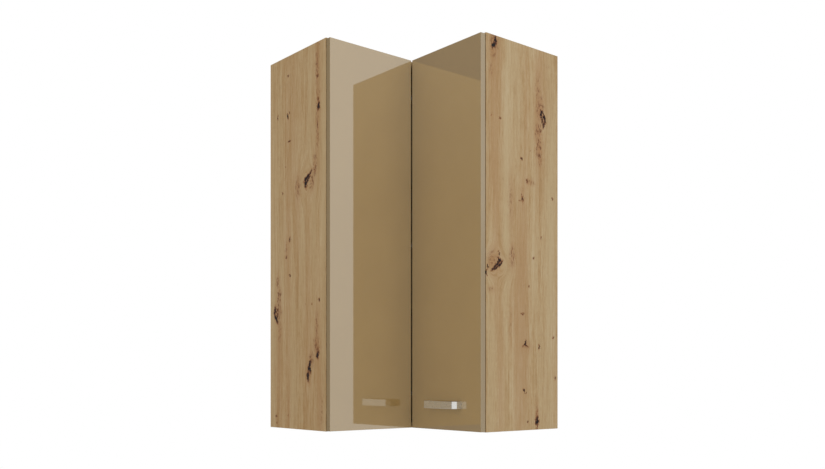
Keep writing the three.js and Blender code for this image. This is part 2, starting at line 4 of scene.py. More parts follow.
import bmesh
import bpy
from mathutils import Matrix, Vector


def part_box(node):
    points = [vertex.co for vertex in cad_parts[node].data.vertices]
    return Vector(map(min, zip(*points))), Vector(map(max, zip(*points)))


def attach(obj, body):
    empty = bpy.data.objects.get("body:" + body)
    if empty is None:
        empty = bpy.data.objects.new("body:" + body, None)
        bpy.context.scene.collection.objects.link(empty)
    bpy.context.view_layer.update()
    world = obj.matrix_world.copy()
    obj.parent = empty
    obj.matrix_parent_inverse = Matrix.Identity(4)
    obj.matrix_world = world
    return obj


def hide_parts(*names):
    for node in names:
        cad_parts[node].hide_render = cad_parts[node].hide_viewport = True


# Corner wall cabinet: oak-look carcass, two high-gloss doors hinged to each other, one bent handle.
# Metres. The origin is the corner of the room at the height of the cabinet's underside. The left wing
# hangs on the wall x = 0, the right wing on the wall y = 0.

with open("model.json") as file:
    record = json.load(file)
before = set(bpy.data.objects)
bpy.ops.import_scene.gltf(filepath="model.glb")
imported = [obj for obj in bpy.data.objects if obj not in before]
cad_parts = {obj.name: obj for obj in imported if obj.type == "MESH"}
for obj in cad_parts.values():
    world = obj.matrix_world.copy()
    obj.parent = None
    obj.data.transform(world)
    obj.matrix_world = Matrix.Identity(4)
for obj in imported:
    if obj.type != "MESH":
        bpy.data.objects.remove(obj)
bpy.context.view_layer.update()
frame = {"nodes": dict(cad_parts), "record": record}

MM = 0.001
X, Y, Z = range(3)  # the axes

# The picture: its size and the camera that was fitted to the cabinet's edges
PICTURE_WIDTH = 825
PICTURE_HEIGHT = 469
FOCAL_LENGTH_PIXELS = 907
HORIZON_PIXELS = 375.05
SENSOR_WIDTH = 36
CAMERA_PLACE = (2.349, -2.011, 0.155)
CAMERA_TURN = math.radians(50.11)

# The studio
WHITE = (1.0, 1.0, 1.0, 1.0)
FLOOR_LEVEL = -1.45
FLOOR_HALF = 4.0
FLOOR_COLOUR = (0.62, 0.62, 0.62, 1.0)
FLOOR_GLOW = 0.4  # lifts the floor to near white, for the camera and for reflections alone
FLOOR_FADE = (1.6, 3.4)  # the floor fades into the white background between these distances
AMBIENT = 0.69
AIM = Vector((0.3, -0.3, 0.54))  # the middle of the cabinet
LAMP_SIZE = 3.0
LAMPS = [  # name, place, power
    ("lamp_left", (0.2, -4.4, 1.5), 30),
    ("lamp_right", (4.8, -0.2, 1.5), 59),
]
CARDS = [  # name, two ends in plan, and how bright it is at each height; only reflections see them
    ("dark_card", (-6.0, -3.5), (3.2, -3.5), [(0.0, 0.28), (3.0, 0.28)]),
    ("side_card", (-1.5, 3.0), (4.2, 3.0), [(1.0, 0.62), (1.5, 0.82)]),
    ("pale_card", (4.2, 3.0), (8.0, 3.0), [(0.0, 0.95), (2.4, 1.07)]),
    ("front_card", (2.27, -3.51), (3.81, -1.67), [(0.0, 0.92), (1.4, 1.08), (2.2, 1.4)]),
]
CARD_TOP = 4.5

# How wide the rounded edges are
SIDE_PANEL_EDGE = 0.9 * MM
SHELF_EDGE = 0.5 * MM
DOOR_EDGE = 0.6 * MM
FITTING_EDGE = 0.2 * MM
HANDLE_EDGE = 0.4 * MM

# The handle
HANDLE_SCREW_INSET = 20 * MM
HANDLE_STRAP = 4 * MM
HANDLE_CORNER = 10 * MM  # how much of the bar and of the end the slanting corner takes
HANDLE_POST_RADIUS = 4.5 * MM


# ---- Node trees ----

def srgb(red, green, blue):
    """A colour written as on a screen, 0 to 255, for a colour socket."""
    def linear(value):
        value /= 255
        return value / 12.92 if value <= 0.04045 else ((value + 0.055) / 1.055) ** 2.4
    return (linear(red), linear(green), linear(blue), 1.0)


class Graph:
    """Adds nodes to a tree. An input takes a socket, a number, a vector or a colour."""

    def __init__(self, tree):
        self.tree = tree
        tree.nodes.clear()

    def add(self, kind, inputs=None, **settings):
        node = self.tree.nodes.new(kind)
        for name, value in settings.items():
            setattr(node, name, value)
        for key, value in (inputs or {}).items():
            self.feed(node.inputs[key], value)
        return node

    def feed(self, socket, value):
        if isinstance(value, bpy.types.NodeSocket):
            self.tree.links.new(value, socket)
        else:
            socket.default_value = value

    def math(self, operation, first, second=0.0, clamp=False):
        node = self.add("ShaderNodeMath", {0: first, 1: second}, operation=operation, use_clamp=clamp)
        return node.outputs[0]

    def separate(self, vector):
        return self.add("ShaderNodeSeparateXYZ", {0: vector}).outputs

    def combine(self, x, y, z=0.0):
        return self.add("ShaderNodeCombineXYZ", {0: x, 1: y, 2: z}).outputs[0]

    def scaled(self, vector, scale):
        node = self.add("ShaderNodeVectorMath", {0: vector, 1: scale}, operation="MULTIPLY")
        return node.outputs[0]

    def moved(self, vector, step):
        node = self.add("ShaderNodeVectorMath", {0: vector, 1: step}, operation="ADD")
        return node.outputs[0]

    def noise(self, vector, scale=1.0, detail=2.0, roughness=0.5):
        inputs = {"Vector": vector, "Scale": scale, "Detail": detail, "Roughness": roughness}
        return self.add("ShaderNodeTexNoise", inputs).outputs["Fac"]

    def spread(self, value, low, high, to_low=0.0, to_high=1.0, smooth=False):
        """Takes the range from low to high to the range from to_low to to_high, and stops there."""
        inputs = {"Value": value, "From Min": low, "From Max": high, "To Min": to_low, "To Max": to_high}
        node = self.add("ShaderNodeMapRange", inputs)
        node.interpolation_type = "SMOOTHSTEP" if smooth else "LINEAR"
        return node.outputs["Result"]

    def ramp(self, value, stops):
        """The colour at a value; each stop is a place from 0 to 1 and its colour."""
        node = self.add("ShaderNodeValToRGB", {0: value})
        elements = node.color_ramp.elements
        while len(elements) < len(stops):
            elements.new(0.5)
        for element, (position, colour) in zip(elements, stops):
            element.position = position
            element.color = colour
        return node.outputs["Color"]

    def mix(self, factor, first, second, blend="MIX"):
        """Between two colours."""
        node = self.add("ShaderNodeMix", data_type="RGBA", blend_type=blend)
        for index, value in ((0, factor), (6, first), (7, second)):
            self.feed(node.inputs[index], value)
        return node.outputs[2]

    def bump(self, height, distance, strength=1.0):
        inputs = {"Height": height, "Distance": distance, "Strength": strength}
        return self.add("ShaderNodeBump", inputs).outputs[0]

    def place(self):
        """Where a point lies in the object's own axes, in metres."""
        return self.add("ShaderNodeTexCoord").outputs["Object"]

    def facing(self, axis):
        """1 on the surfaces that face along an axis of the object, 0 on those that lie along it."""
        outward = self.separate(self.add("ShaderNodeTexCoord").outputs["Normal"])[axis]
        return self.spread(self.math("ABSOLUTE", outward), 0.4, 0.6)

    def blend(self, factor, first, second):
        """Between two numbers."""
        node = self.add("ShaderNodeMix", data_type="FLOAT")
        for index, value in ((0, factor), (2, first), (3, second)):
            self.feed(node.inputs[index], value)
        return node.outputs[0]


def empty_material(name):
    material = bpy.data.materials.new(name)
    material.use_nodes = True
    return material, Graph(material.node_tree)


def new_material(name):
    material, graph = empty_material(name)
    shader = graph.add("ShaderNodeBsdfPrincipled")
    graph.add("ShaderNodeOutputMaterial", {"Surface": shader.outputs[0]})
    return material, graph, shader


# ---- Oak ----

# The marks in the oak of the side panels, in millimetres out from the wall and up. Their places come
# from the photograph, by way of the camera that was fitted to it.
# A split is a chain of points: out, up, half width there.
RIGHT_PANEL_SPLITS = [
    [(70, 909, 1.5), (60, 897, 3), (54, 886, 4), (57, 875, 4), (62, 863, 2)],
    [(71, 907, 2.5), (73, 892, 3.5), (66, 879, 3), (64, 868, 2)],
    [(256, 1080, 4.5), (254, 1069, 4), (259, 1057, 6), (266, 1049, 2.5), (268, 1041, 1.5)],
    [(242, 491, 2.5), (242, 480, 2.5)],
    [(241, 474, 3), (237, 468, 5), (252, 456, 3), (269, 440, 2)],
    [(231, 464, 3.5), (247, 450, 3), (259, 443, 2)],
    [(285, 453, 2), (285, 444, 2)],
    [(289, 439, 2.5), (289, 427, 2.5)],
    [(135, 252, 2), (136, 243, 3), (144, 236, 3)],
    [(137, 240, 1.5), (129, 235, 2.5)],
    [(143, 114, 2), (137, 105, 2.5)],
]
LEFT_PANEL_SPLITS = [
    [(221, 728, 2), (204, 715, 4), (188, 706, 6.5), (192, 687, 4)],
    [(209, 712, 2.5), (196, 698, 3.5)],
    [(26, 351, 3.5), (25, 332, 6.5), (37, 313, 3)],
    [(34, 341, 2), (42, 325, 2.5)],
    [(216, 194, 2.5), (207, 179, 5.5), (207, 164, 5), (200, 155, 5), (205, 141, 3)],
    [(212, 176, 3), (215, 163, 2.5)],
    [(94, 911, 2), (97, 900, 3.5)],
]
# A dot: out, up, half width, half height, how dark it is from 0 to 1
RIGHT_PANEL_DOTS = [
    (271, 860, 3, 4, 0.36), (238, 858, 4, 4, 0.48), (152, 759, 3, 4, 0.76), (116, 787, 1.5, 2.5, 0.48),
    (129, 700, 4, 6, 0.6), (148, 648, 4, 6, 0.8), (160, 642, 2, 2.5, 0.48), (24, 663, 2.5, 4, 0.76),
    (71, 546, 2.5, 4.5, 0.6), (103, 486, 3, 4, 0.56), (121, 405, 2.5, 4, 0.56), (148, 326, 4, 4, 0.6),
    (79, 235, 3, 7, 0.72), (19, 262, 2.5, 5, 0.64), (11, 146, 2.5, 5, 0.76), (125, 24, 2.5, 4, 0.64),
    (88, 25, 6, 12, 1.0), (88, 8, 4, 10, 0.5), (88, 48, 3, 13, 0.35), (250, 1059, 5, 6, 0.5),
]
LEFT_PANEL_DOTS = [
    (238, 731, 3.5, 7, 0.6), (235, 716, 2.5, 6, 0.56), (250, 985, 3.5, 5, 0.72), (259, 1070, 1.5, 3.5, 0.48),
    (99, 1023, 3, 4, 0.6), (44, 913, 2, 7.5, 0.68), (105, 914, 2.5, 4, 0.68), (105, 832, 6, 2.5, 0.6),
    (50, 768, 2, 2.5, 0.44), (84, 761, 2, 2.5, 0.44), (68, 686, 2.5, 4, 0.68), (107, 547, 4, 7, 0.76),
    (89, 498, 3.5, 5, 0.6), (109, 443, 3, 4, 0.76), (259, 363, 3, 5, 0.72), (221, 354, 2.5, 3.5, 0.4),
    (190, 355, 2.5, 3.5, 0.4), (34, 34, 2.5, 3.5, 0.72), (36, 14, 2, 4, 0.56), (99, 39, 2.5, 3.5, 0.52),
    (256, 901, 5.5, 10, 0.95), (254, 920, 4, 8, 0.45), (251, 211, 6, 10, 1.0), (251, 226, 4, 8, 0.45),
]
# Reddish, ticked wood round the knots: out, up, half width, half height, how strong from 0 to 1
RIGHT_PANEL_STAINS = [
    (76, 915, 16, 34, 0.9), (84, 846, 13, 24, 1.0), (80, 800, 12, 34, 1.0), (76, 770, 9, 20, 0.9),
    (84, 965, 11, 60, 0.6), (262, 1050, 15, 34, 0.8), (272, 985, 8, 26, 0.6), (268, 470, 20, 26, 0.8),
    (189, 484, 10, 30, 0.9), (116, 698, 18, 9, 0.7), (148, 655, 5, 26, 0.7), (88, 35, 6, 44, 0.7),
    (195, 640, 10, 60, 0.55), (272, 388, 12, 8, 0.6), (130, 235, 20, 12, 0.45), (196, 300, 8, 70, 0.45),
]
LEFT_PANEL_STAINS = [
    (238, 742, 9, 30, 0.9), (222, 700, 14, 28, 0.8), (150, 690, 14, 34, 0.8), (252, 926, 7, 34, 0.8),
    (250, 850, 6, 70, 0.8), (248, 1012, 7, 44, 0.9), (41, 430, 6, 26, 0.9), (48, 385, 10, 34, 1.0),
    (46, 345, 14, 26, 1.0), (52, 285, 9, 40, 0.7), (89, 520, 7, 26, 0.7), (244, 240, 13, 22, 1.0),
    (246, 292, 7, 46, 0.7), (220, 200, 12, 24, 0.8), (205, 160, 12, 26, 0.8), (269, 60, 8, 60, 0.6),
    (100, 60, 6, 60, 0.4),
]
# Broad upright bands of redder and of paler wood: out, up, half width, half height, how strong
RIGHT_PANEL_RED_BANDS = [
    (150, 330, 26, 420, 0.8), (192, 550, 12, 170, 0.8), (250, 740, 16, 330, 0.9), (84, 890, 15, 190, 1.0),
    (234, 170, 12, 180, 0.7), (6, 200, 8, 180, 0.5), (130, 860, 14, 160, 0.5),
]
RIGHT_PANEL_PALE_BANDS = [
    (34, 540, 24, 700, 0.9), (97, 470, 15, 170, 0.9), (213, 540, 12, 460, 0.8), (266, 190, 18, 170, 0.9),
    (172, 940, 18, 200, 0.9), (66, 190, 24, 180, 0.6),
]
LEFT_PANEL_RED_BANDS = [
    (98, 560, 16, 620, 0.8), (52, 170, 14, 190, 1.0), (200, 320, 18, 330, 0.7), (255, 170, 13, 190, 1.0),
    (150, 560, 12, 170, 0.7), (255, 920, 10, 170, 1.0), (125, 900, 26, 190, 0.6),
]
LEFT_PANEL_PALE_BANDS = [
    (12, 540, 14, 700, 0.8), (132, 180, 20, 170, 0.8), (178, 550, 10, 180, 0.8), (66, 560, 12, 160, 0.7),
    (234, 560, 9, 180, 0.9), (277, 620, 10, 480, 0.9), (213, 900, 14, 180, 0.9), (52, 900, 14, 170, 0.7),
]

OAK_TONES = [
    (0.1, srgb(150, 116, 70)), (0.35, srgb(168, 137, 93)), (0.5, srgb(176, 149, 108)),
    (0.65, srgb(182, 158, 120)), (0.9, srgb(193, 174, 142)),
]
OAK_RED = srgb(166, 131, 90)
OAK_PALE = srgb(181, 159, 121)
OAK_PORE = srgb(120, 84, 48)
STAIN_RED = srgb(154, 104, 62)
STAIN_TICK = srgb(108, 66, 38)
BURN_TONES = [
    (0.1, srgb(160, 118, 78)), (0.32, srgb(136, 90, 54)), (0.55, srgb(82, 46, 27)), (0.8, srgb(18, 10, 7)),
]
LEFT_PANEL_PAINTED_SHADE = (0.98, 0.93, 0.86, 1.0)  # painted shade: the left side panel's oak is made a little warmer and darker than the right one's, as if it got less light

# The grain's layers. Each is noise with so many steps a metre across the grain and along it, and weighs
# so much in the tone.
GRAIN_LAYERS = {
    "broad": (30, 1.2, 0.75),
    "streak": (125, 5, 0.75),
    "fine": (400, 24, 0.85),
    "fibre": (1500, 90, 0.6),
}
WARMTH_STEPS = (17, 0.9)
PORE_STEPS = (1300, 52)
TICK_STEPS = (230, 70)
SPLINTER_STEPS = (260, 70)

WANDER = 8 * MM  # how far the grain wanders to either side
WAVE_SCALE = 150  # the slow raggedness of the marks' edges, and how far it reaches
WAVE_REACH = 4 * MM
FRAY_SCALE = 480  # the quick raggedness
FRAY_REACH = 3 * MM
GRAIN_TURN_REACH = 2.6  # how many times the size of a split its pull on the grain goes
OAK_RELIEF = 0.06 * MM


def split_marks(splits):
    """Each stretch of each split as a mark: out, up, half width, half height, tilt, darkness."""
    marks = []
    for split in splits:
        for (out0, up0, width0), (out1, up1, width1) in zip(split, split[1:]):
            half_width = (width0 + width1) / 2
            half_height = math.hypot(out1 - out0, up1 - up0) / 2 + half_width * 0.7
            tilt = math.atan2(out0 - out1, up1 - up0)
            marks.append(((out0 + out1) / 2, (up0 + up1) / 2, half_width, half_height, tilt, 1.0))
    return marks


def upright_marks(rows):
    """The rows of a list as marks that don't tilt."""
    return [(*row[:4], 0.0, row[4]) for row in rows]


def knot_marks(splits):
    """One mark round each whole split."""
    marks = []
    for split in splits:
        outs, ups, widths = zip(*split)
        half_width = max((max(outs) - min(outs)) / 2, max(widths))
        half_height = (max(ups) - min(ups)) / 2
        middle = ((max(outs) + min(outs)) / 2, (max(ups) + min(ups)) / 2)
        marks.append((*middle, half_width, half_height, 0.0, 1.0))
    return marks


def mark_place(graph, board, mark):
    """How far across a mark each place is, and the square of its distance; the edge is at 1."""
    out, up, half_width, half_height, tilt, _ = mark
    offsets = []
    for axis_out, axis_up, half in ((math.cos(tilt), math.sin(tilt), half_width),
                                    (-math.sin(tilt), math.cos(tilt), half_height)):
        start = -(axis_out * out + axis_up * up) / half
        weights = (axis_out / (half * MM), axis_up / (half * MM), start)
        product = graph.add("ShaderNodeVectorMath", {0: board, 1: weights}, operation="DOT_PRODUCT")
        offsets.append(product.outputs["Value"])
    across, along = offsets
    square = graph.math("ADD", graph.math("MULTIPLY", across, across),
                        graph.math("MULTIPLY", along, along))
    return across, square


def strongest_mark(graph, board, marks):
    """How strong the marks are at each place: the full depth in a mark's middle, half at its edge."""
    strongest = 0.0
    for mark in marks:
        _, square = mark_place(graph, board, mark)
        here = graph.math("MULTIPLY", graph.math("POWER", 0.5, square), mark[-1])
        strongest = graph.math("MAXIMUM", strongest, here)
    return strongest


def grain_push(graph, board, knots):
    """How far the knots push the grain aside."""
    push = 0.0
    for knot in knots:
        across, square = mark_place(graph, board, knot)
        fade = graph.math("POWER", 2.0, graph.math("MULTIPLY", square, -1 / GRAIN_TURN_REACH ** 2))
        side = graph.math("MULTIPLY", across, knot[2] * MM)
        push = graph.math("ADD", push, graph.math("MULTIPLY", side, fade))
    return push


def ragged_step(graph, board, scale, reach):
    """A small step to the side that frays the edges of the marks."""
    ragged = graph.noise(graph.scaled(board, (1, 0.5, 1)), scale=scale, detail=2)
    return graph.combine(graph.spread(ragged, 0.3, 0.7, -reach, reach), 0.0)


def grain_noise(graph, grain, steps, detail=2, roughness=0.5):
    """Noise drawn out along the grain."""
    across, along = steps
    return graph.noise(graph.scaled(grain, (across, along, across)), detail=detail, roughness=roughness)


def oak_tone(graph, grain, red_bands, pale_bands):
    """Colour of the plain wood, its fine relief and its fine streaks."""
    tone = 0.5
    layers = {}
    for name, (across, along, weight) in GRAIN_LAYERS.items():
        layers[name] = grain_noise(graph, grain, (across, along))
        tone = graph.math("ADD", tone, graph.spread(layers[name], 0, 1, -weight / 2, weight / 2))
    wood = graph.ramp(tone, OAK_TONES)

    warmth = grain_noise(graph, grain, WARMTH_STEPS, detail=3)
    redness = graph.math("ADD", graph.spread(warmth, 0.5, 0.7, 0, 0.4),
                         graph.math("MULTIPLY", red_bands, 0.52))
    paleness = graph.math("ADD", graph.spread(warmth, 0.47, 0.32, 0, 0.35),
                          graph.math("MULTIPLY", pale_bands, 0.5))
    banded = graph.mix(paleness, graph.mix(redness, wood, OAK_RED), OAK_PALE)

    pore = grain_noise(graph, grain, PORE_STEPS, detail=1)
    pores = graph.math("MULTIPLY", graph.spread(pore, 0.62, 0.7, smooth=True),
                       graph.spread(layers["broad"], 0.62, 0.38, 0.25, 1.0))
    porous = graph.mix(graph.math("MULTIPLY", pores, 0.45), banded, OAK_PORE)
    relief = graph.math("SUBTRACT", graph.math("MULTIPLY", layers["fine"], 0.4), pores)
    return porous, relief, layers["fine"]


def stained_oak(graph, wood, grain, frayed, stains):
    """Reddens the wood in the stains and draws their ticks."""
    ticks = grain_noise(graph, grain, TICK_STEPS, roughness=0.6)
    stain = strongest_mark(graph, frayed, upright_marks(stains))
    reddened = graph.mix(graph.math("MULTIPLY", stain, 0.5), wood, STAIN_RED)
    ticked = graph.math("MULTIPLY", graph.spread(stain, 0.3, 0.8), graph.spread(ticks, 0.5, 0.6))
    return graph.mix(ticked, reddened, STAIN_TICK)


def mark_darkness(graph, grain, frayed, splits, dots):
    """How dark the splits, broken into splinters, and the dots are."""
    broken = graph.spread(grain_noise(graph, grain, SPLINTER_STEPS), 0.36, 0.54, 0.55, 1.2)
    splinters = graph.math("MULTIPLY", strongest_mark(graph, frayed, split_marks(splits)), broken)
    return graph.math("MAXIMUM", splinters, strongest_mark(graph, frayed, upright_marks(dots)))


def oak(name, across, along, through, flip=1.0, splits=(), dots=(), stains=(), red_bands=(),
        pale_bands=(), shift=(0.0, 0.0, 0.0), painted_shade=WHITE):
    """Oak-look decor. across, along and through are the object's axes as seen from the grain.

    flip is -1 where out from the wall runs against its axis. shift takes the grain from another
    place in the noise than on the other boards.
    """
    material, graph, shader = new_material(name)
    axes = graph.separate(graph.place())
    out = graph.math("MULTIPLY", axes[across], flip)
    board = graph.combine(out, axes[along], 1.0)
    end = graph.facing(along)
    waved = graph.moved(board, ragged_step(graph, board, WAVE_SCALE, WAVE_REACH))
    frayed = graph.moved(waved, ragged_step(graph, board, FRAY_SCALE, FRAY_REACH))

    push = grain_push(graph, board, knot_marks(splits))
    wander = graph.noise(graph.scaled(board, (7, 1.6, 1)), detail=1)
    across_grain = graph.math("ADD", graph.math("SUBTRACT", out, push),
                              graph.spread(wander, 0.2, 0.8, -WANDER, WANDER))
    # The grain of an edge band runs along the edge
    edge_turned = graph.combine(graph.blend(end, across_grain, axes[along]),
                                graph.blend(end, axes[along], across_grain), axes[through])
    grain = graph.moved(edge_turned, shift)

    wood, relief, fine = oak_tone(graph, grain, strongest_mark(graph, waved, upright_marks(red_bands)),
                                  strongest_mark(graph, waved, upright_marks(pale_bands)))
    stained = stained_oak(graph, wood, grain, frayed, stains)
    darkness = mark_darkness(graph, grain, frayed, splits, dots)
    burn = graph.ramp(darkness, BURN_TONES)
    colour = graph.mix(graph.spread(darkness, 0.06, 0.4, smooth=True), stained, burn)

    # painted shade: the colour is multiplied by a darker, warmer tone on the left side panel, as if that
    # board got less light
    graph.feed(shader.inputs["Base Color"], graph.mix(1.0, colour, painted_shade, blend="MULTIPLY"))
    graph.feed(shader.inputs["Roughness"], graph.spread(fine, 0.2, 0.8, 0.5, 0.62))
    shader.inputs["Specular IOR Level"].default_value = 0.2
    sunk = graph.math("SUBTRACT", relief, graph.math("MULTIPLY", darkness, 0.6))
    graph.feed(shader.inputs["Normal"], graph.bump(sunk, OAK_RELIEF, 0.6))
    return material


# ---- Other materials ----

FRONT_BEIGE = [(0.0, srgb(151, 122, 75)), (1.0, srgb(154, 125, 77))]
FRONT_EDGE_BAND = srgb(138, 112, 68)
FRONT_MIRROR = 2.8  # index of refraction: the doors mirror more than plain lacquer does
FRONT_MIRROR_TINT = (1.0, 0.97, 0.86, 1.0)
SATIN_DEPTH = 1 * MM  # how deep the satin back of a door goes
SATIN_FADE = 0.5 * MM  # and how soon it turns into gloss

SHEET_BARE = [(0.3, srgb(112, 84, 58)), (0.5, srgb(134, 104, 74)), (0.7, srgb(154, 124, 92))]
SHEET_LACQUER = [(0.3, srgb(170, 145, 108)), (0.5, srgb(178, 154, 118)), (0.7, srgb(186, 164, 130))]
SHEET_MIDDLE = sum(corner.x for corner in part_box("left_back_panel")) / 2  # out from its wall
SHEET_FADE = 0.2 * MM
SHEET_PRINT = (240, 240, 9)  # the printed grain inside runs upright

PLASTIC_WHITE = [(0.3, srgb(214, 212, 205)), (0.7, srgb(222, 220, 214))]
RUBBER_GREY = [(0.3, srgb(196, 195, 188)), (0.7, srgb(208, 207, 201))]


def gloss_front(name, front_axis, back, outwards):
    """High-gloss front with a satin back. outwards is 1 or -1: the way from back to front."""
    material, graph, shader = new_material(name)
    place = graph.place()
    cloud = graph.noise(place, scale=9, detail=2)
    face = graph.ramp(graph.spread(cloud, 0.3, 0.7), FRONT_BEIGE)
    graph.feed(shader.inputs["Base Color"], graph.mix(graph.facing(front_axis), FRONT_EDGE_BAND, face))

    depth = graph.separate(place)[front_axis]
    satin_end = back + outwards * SATIN_DEPTH
    is_back = graph.spread(depth, satin_end + outwards * SATIN_FADE, satin_end, smooth=True)
    satin = graph.spread(graph.noise(place, scale=900, detail=1), 0.3, 0.7, 0.36, 0.44)
    polish = graph.spread(graph.noise(place, scale=70, detail=3), 0.3, 0.7, 0.025, 0.045)
    graph.feed(shader.inputs["Roughness"], graph.blend(is_back, polish, satin))

    shader.inputs["IOR"].default_value = FRONT_MIRROR
    shader.inputs["Specular Tint"].default_value = FRONT_MIRROR_TINT
    wave = graph.noise(place, scale=55, detail=1)
    graph.feed(shader.inputs["Normal"], graph.bump(wave, 0.01 * MM, 0.3))
    return material


def back_sheet():
    """Fibreboard sheet: lacquered towards the inside, bare and brown towards the wall."""
    material, graph, shader = new_material("back_sheet_board")
    place = graph.place()
    axes = graph.separate(place)
    left_back = graph.spread(axes[X], SHEET_MIDDLE + SHEET_FADE, SHEET_MIDDLE)
    right_back = graph.spread(axes[Y], -SHEET_MIDDLE - SHEET_FADE, -SHEET_MIDDLE)
    towards_wall = graph.math("MAXIMUM", left_back, right_back, clamp=True)
    fibres = graph.noise(place, scale=700, detail=4, roughness=0.7)
    flakes = graph.noise(place, scale=60, detail=3)
    print_grain = graph.noise(graph.scaled(place, SHEET_PRINT), detail=3, roughness=0.6)
    pressed = graph.math("ADD", graph.math("MULTIPLY", fibres, 0.6), graph.math("MULTIPLY", flakes, 0.4))
    bare = graph.ramp(pressed, SHEET_BARE)
    lacquer = graph.ramp(print_grain, SHEET_LACQUER)
    graph.feed(shader.inputs["Base Color"], graph.mix(towards_wall, lacquer, bare))
    graph.feed(shader.inputs["Roughness"], graph.spread(fibres, 0.3, 0.7, 0.5, 0.75))
    graph.feed(shader.inputs["Normal"], graph.bump(fibres, 0.05 * MM, 0.4))
    return material


def metal(name, dark, pale, roughness, stroke, cloud_scale, depth):
    """Plated metal. Its fine strokes, depth deep, run along the axes with a low stroke factor."""
    material, graph, shader = new_material(name)
    place = graph.place()
    strokes = graph.noise(graph.scaled(place, stroke), scale=1400, detail=2)
    cloud = graph.noise(place, scale=cloud_scale, detail=3)
    graph.feed(shader.inputs["Base Color"], graph.ramp(cloud, [(0.3, dark), (0.7, pale)]))
    graph.feed(shader.inputs["Roughness"],
               graph.spread(strokes, 0.25, 0.75, roughness - 0.06, roughness + 0.06))
    shader.inputs["Metallic"].default_value = 1.0
    graph.feed(shader.inputs["Normal"], graph.bump(strokes, depth, 0.4))
    return material


def white_plastic():
    material, graph, shader = new_material("white_plastic_moulded")
    place = graph.place()
    texture = graph.noise(place, scale=1600, detail=2)
    cloud = graph.noise(place, scale=40, detail=2)
    graph.feed(shader.inputs["Base Color"], graph.ramp(cloud, PLASTIC_WHITE))
    graph.feed(shader.inputs["Roughness"], graph.spread(texture, 0.3, 0.7, 0.4, 0.52))
    graph.feed(shader.inputs["Normal"], graph.bump(texture, 0.03 * MM, 0.4))
    return material


def bumper_rubber():
    material, graph, shader = new_material("bumper_rubber_soft")
    place = graph.place()
    cloud = graph.noise(place, scale=400, detail=2)
    graph.feed(shader.inputs["Base Color"], graph.ramp(cloud, RUBBER_GREY))
    graph.feed(shader.inputs["Roughness"], graph.spread(cloud, 0.3, 0.7, 0.45, 0.6))
    graph.feed(shader.inputs["Normal"], graph.bump(cloud, 0.02 * MM, 0.4))
    return material


HANDLE_METAL = metal("handle_satin_chrome", srgb(222, 220, 214), srgb(227, 225, 220), roughness=0.3,
                     stroke=(0.04, 0.04, 1), cloud_scale=90, depth=0.001 * MM)

# The materials of single nodes, and of all other nodes by their slot
NODE_MATERIALS = {
    "right_side_panel": oak("oak_right_panel", Y, Z, X, flip=-1.0, splits=RIGHT_PANEL_SPLITS,
                            dots=RIGHT_PANEL_DOTS, stains=RIGHT_PANEL_STAINS,
                            red_bands=RIGHT_PANEL_RED_BANDS, pale_bands=RIGHT_PANEL_PALE_BANDS,
                            shift=(0.31, 0.2, 0.0)),
    "left_side_panel": oak("oak_left_panel", X, Z, Y, splits=LEFT_PANEL_SPLITS,
                           dots=LEFT_PANEL_DOTS, stains=LEFT_PANEL_STAINS,
                           red_bands=LEFT_PANEL_RED_BANDS, pale_bands=LEFT_PANEL_PALE_BANDS,
                           shift=(1.17, 0.7, 0.4), painted_shade=LEFT_PANEL_PAINTED_SHADE),
    "corner_post": oak("oak_upright", X, Z, Y, shift=(2.3, 1.1, 0.0)),
    "left_door": gloss_front("gloss_front_left", X, back=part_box("left_door")[0].x, outwards=1),
    "right_door": gloss_front("gloss_front_right", Y, back=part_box("right_door")[1].y, outwards=-1),
}
SLOT_MATERIALS = {
    "oak_board": oak("oak_level", Y, X, Z, shift=(3.1, 0.4, 0.9)),
    "back_sheet": back_sheet(),
    "handle_metal": HANDLE_METAL,  # the piece that replaces the handle takes it too
    "fitting_steel": metal("fitting_zinc", srgb(188, 192, 196), srgb(214, 215, 212), roughness=0.34,
                           stroke=(1, 1, 1), cloud_scale=160, depth=0.008 * MM),
    "hinge_steel": metal("hinge_nickel", srgb(196, 197, 196), srgb(214, 213, 209), roughness=0.24,
                         stroke=(1, 1, 0.1), cloud_scale=120, depth=0.008 * MM),
    "white_plastic": white_plastic(),
    "bumper_rubber": bumper_rubber(),
}


def dress_nodes():
    """Gives each CAD node its material."""
    for part in frame["record"]["subparts"]:
        node = frame["nodes"][part["node"]]
        material = NODE_MATERIALS.get(part["node"], SLOT_MATERIALS.get(part["material_slot"]))
        for slot in node.material_slots:
            slot.material = material


# ---- Shapes ----

def add_bevel(piece, width, segments, least_angle=50, limited=True):
    bevel = piece.modifiers.new("bevel", "BEVEL")
    bevel.use_clamp_overlap = limited
    bevel.width = width
    bevel.segments = segments
    bevel.limit_method = "ANGLE"
    bevel.angle_limit = math.radians(least_angle)
    bevel.harden_normals = True


def soften(node, width, limited=True):
    """Rounds the edges of a CAD node. Where Blender's limit on them would leave them sharp, it is off."""
    node.modifiers.new("weld", "WELD").merge_threshold = 0.01 * MM
    planar = node.modifiers.new("planar", "DECIMATE")
    planar.decimate_type = "DISSOLVE"
    planar.angle_limit = math.radians(1)
    add_bevel(node, width, segments=2, limited=limited)


def soften_nodes():
    """Rounds the edges of the nodes that show, each kind by its own width."""
    for part in frame["record"]["subparts"]:
        name, slot = part["node"], part["material_slot"]
        node = frame["nodes"][name]
        if name in ("left_side_panel", "right_side_panel"):
            soften(node, SIDE_PANEL_EDGE, limited=False)
        elif name in ("shelf_1", "shelf_2"):
            soften(node, SHELF_EDGE, limited=False)
        elif slot == "gloss_front":
            soften(node, DOOR_EDGE)
        elif slot in ("hinge_steel", "fitting_steel", "white_plastic") and not name.endswith("_pin"):
            soften(node, FITTING_EDGE, limited=not name.endswith("_cup"))


